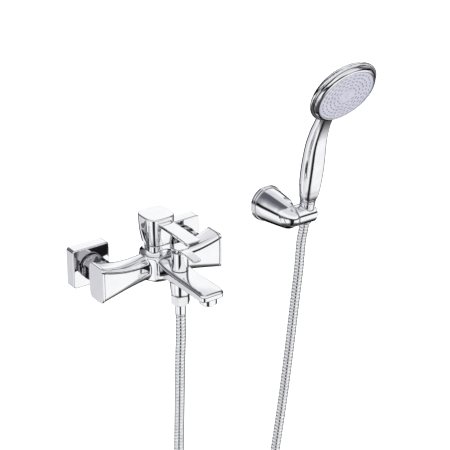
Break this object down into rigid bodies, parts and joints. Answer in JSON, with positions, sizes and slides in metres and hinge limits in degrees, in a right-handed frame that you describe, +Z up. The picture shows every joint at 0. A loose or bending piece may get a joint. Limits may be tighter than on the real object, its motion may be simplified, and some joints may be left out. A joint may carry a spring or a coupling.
{
  "type": "wall mounted bath mixer with hand shower",
  "caption": "Chromed wall mounted single-lever bath mixer with a flat spout, a lever diverter, a hanging metal hose and a round hand shower on a tilting wall holder.",
  "frame": {"origin": "on the finished wall, midway between the two water inlets", "axes": "+X to the right when facing the wall, +Y into the wall, +Z up"},
  "size_m": [0.4192, 0.224, 0.8734],
  "materials": {
    "chrome": "bright chrome plating",
    "chromed_plastic": "bright chrome plating on plastic",
    "brass": "plain machined",
    "steel": "plain",
    "rubber": "matt black",
    "ceramic": "lapped white",
    "nylon": "natural white",
    "face_plastic": "fine satin grey",
    "silicone": "dark grey",
    "hose_steel": "chromed interlocked steel strip"
  },
  "bodies": {
    "fixture": {"mixer_body": "chrome", "end_cap_left": "chrome", "end_cap_right": "chrome", "wall_plate_left": "chrome", "wall_plate_right": "chrome", "union_nut_left": "chrome", "union_nut_right": "chrome", "aerator_housing": "chrome", "diverter_bonnet": "chrome", "hose_nut": "chrome", "hose_ferrule": "chrome", "bracket_base": "chromed_plastic", "bracket_arm": "chromed_plastic", "inlet_union_left": "brass", "inlet_union_right": "brass", "cartridge_nut": "brass", "outlet_nipple": "brass", "bracket_screw_upper": "steel", "bracket_screw_lower": "steel", "bracket_grub_screw": "steel", "swivel_screw": "steel", "inlet_washer_left": "rubber", "inlet_washer_right": "rubber", "cartridge_seal": "rubber", "hose_washer": "rubber", "fixed_disc": "ceramic", "diverter_seat": "ceramic", "cartridge_housing": "nylon", "aerator_insert": "nylon", "check_valve": "nylon", "swivel_washer": "nylon", "shower_hose": "hose_steel"},
    "handle_swivel": {"trim_collar": "chrome"},
    "handle": {"mixer_handle": "chrome", "handle_screw": "steel", "handle_plug": "nylon", "cartridge_stem": "steel"},
    "mixing_disc": {"moving_disc": "ceramic"},
    "diverter": {"diverter_disc": "ceramic", "diverter_spindle": "brass", "diverter_handle": "chrome", "diverter_screw": "steel"},
    "holder": {"holder_cup": "chromed_plastic", "shower_hose_top": "hose_steel"},
    "hose_end": {"hose_insert": "brass"},
    "handset": {"cone_nut": "chromed_plastic", "handset_washer": "rubber", "handset_body": "chromed_plastic", "face_ring": "chromed_plastic", "spray_plate": "face_plastic", "nozzle_mat": "silicone", "flow_plate": "nylon", "face_screw": "steel"}
  },
  "joints": [
    {"name": "handle_turn", "type": "hinge", "parent": "fixture", "child": "handle_swivel", "pos_m": [0, -0.0675, 0.03], "axis": [0, 0, 1], "range_deg": [-50, 50]},
    {"name": "handle_lift", "type": "hinge", "parent": "handle_swivel", "child": "handle", "pos_m": [0, -0.0675, 0.033], "axis": [-1, 0, 0], "range_deg": [0, 25]},
    {"name": "disc_slide", "type": "slide", "parent": "handle_swivel", "child": "mixing_disc", "axis": [0, -1, 0], "range_m": [0, 0.0064]},
    {"name": "diverter_turn", "type": "hinge", "parent": "fixture", "child": "diverter", "pos_m": [0, -0.125, 0.04], "axis": [0, 0, 1], "range_deg": [0, 90]},
    {"name": "holder_tilt", "type": "hinge", "parent": "fixture", "child": "holder", "pos_m": [0.262, -0.0625, 0.0061], "axis": [1, 0, 0], "range_deg": [-25, 35]},
    {"name": "handset_lift", "type": "slide", "parent": "holder", "child": "hose_end", "axis": [0, -0.165, 0.9863], "range_m": [0, 0.018]},
    {"name": "handset_turn", "type": "hinge", "parent": "hose_end", "child": "handset", "pos_m": [0.262, -0.0625, 0.0061], "axis": [0, -0.165, 0.9863], "continuous": true}
  ],
  "couplings": [
    {"joint": "disc_slide", "follows": "handle_lift", "m_per_rad": 0.0145}
  ]
}
